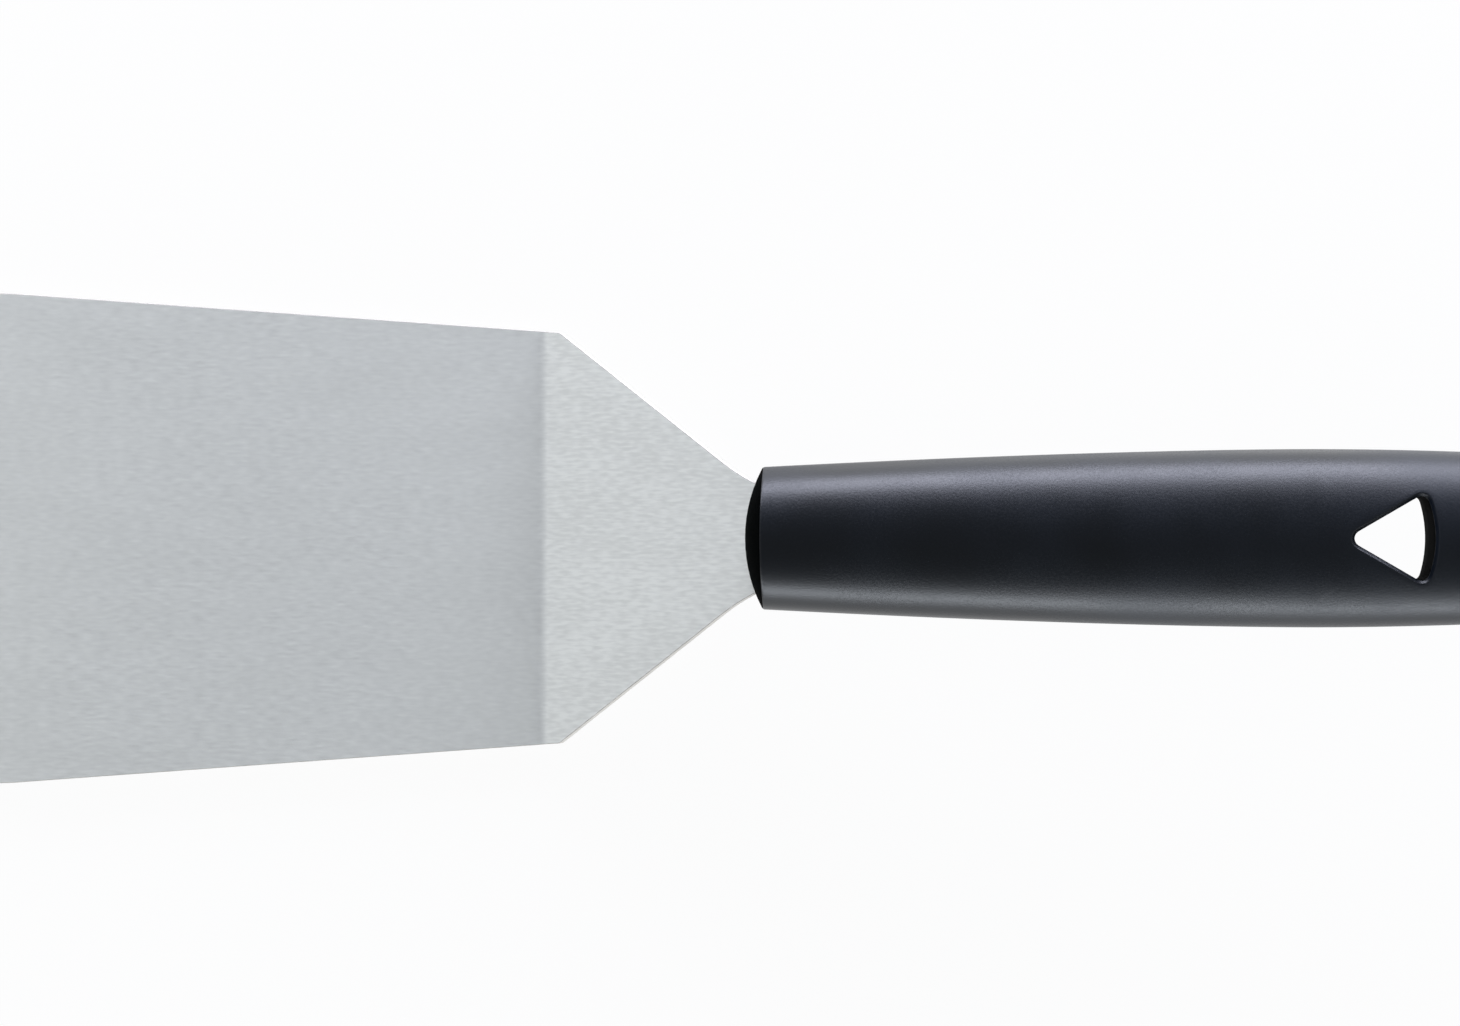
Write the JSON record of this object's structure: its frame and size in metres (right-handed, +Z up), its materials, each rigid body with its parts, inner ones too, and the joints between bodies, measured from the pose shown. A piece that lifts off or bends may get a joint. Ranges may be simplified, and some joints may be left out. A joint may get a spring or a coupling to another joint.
{
  "type": "offset spatula",
  "caption": "Offset spatula: a wide round-tipped stainless blade, cranked up through a tapering shoulder into a black oval moulded handle with a rounded-triangle hang hole.",
  "frame": {"origin": "centre of the flat blade's underside, midway between the tip and the crank line", "axes": "+X from the blade's tip towards the handle's butt, +Y to the left across the blade when looking along +X, +Z up out of the blade's upper face"},
  "size_m": [0.2723, 0.0748, 0.0484],
  "materials": {
    "stainless_sheet": "fine lengthwise brushing",
    "core_plastic": "as moulded, hidden",
    "grip_plastic": "satin moulded"
  },
  "bodies": {
    "root": {"blade": "stainless_sheet", "handle_core": "core_plastic", "handle_grip": "grip_plastic"}
  },
  "joints": []
}
